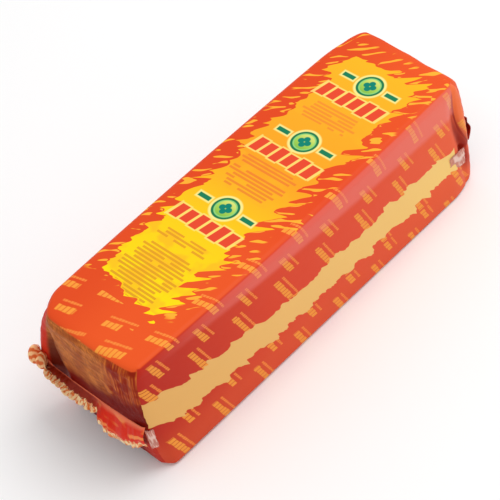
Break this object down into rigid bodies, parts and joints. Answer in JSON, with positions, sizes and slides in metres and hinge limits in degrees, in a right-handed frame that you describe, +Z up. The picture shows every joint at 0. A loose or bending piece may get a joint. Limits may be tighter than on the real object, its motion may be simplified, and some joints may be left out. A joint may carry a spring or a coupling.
{
  "type": "edam cheese",
  "caption": "Long brick of semi-hard cheese in a tight printed film bag, its ends folded to crinkled crosswise seals; lies flat on its base.",
  "frame": {"origin": "middle of the flat base that the loaf lies on, at floor level", "axes": "+X along the loaf toward its far end, +Y toward the side with the rounder edges, away from the striped side in the picture, +Z up"},
  "size_m": [0.3384, 0.1083, 0.1],
  "materials": {
    "printed_film": "semi-gloss printed film over cheese",
    "near_fin_film": "crinkled printed film with a clear edge",
    "far_fin_film": "crinkled printed film",
    "near_clear_film": "clear film, unprinted",
    "far_clear_film": "clear film, unprinted"
  },
  "bodies": {
    "root": {"cheese_block": "printed_film", "seal_fin_near": "near_fin_film", "seal_fin_far": "far_fin_film", "seal_tab_near": "near_clear_film", "seal_tab_far": "far_clear_film"}
  },
  "joints": []
}
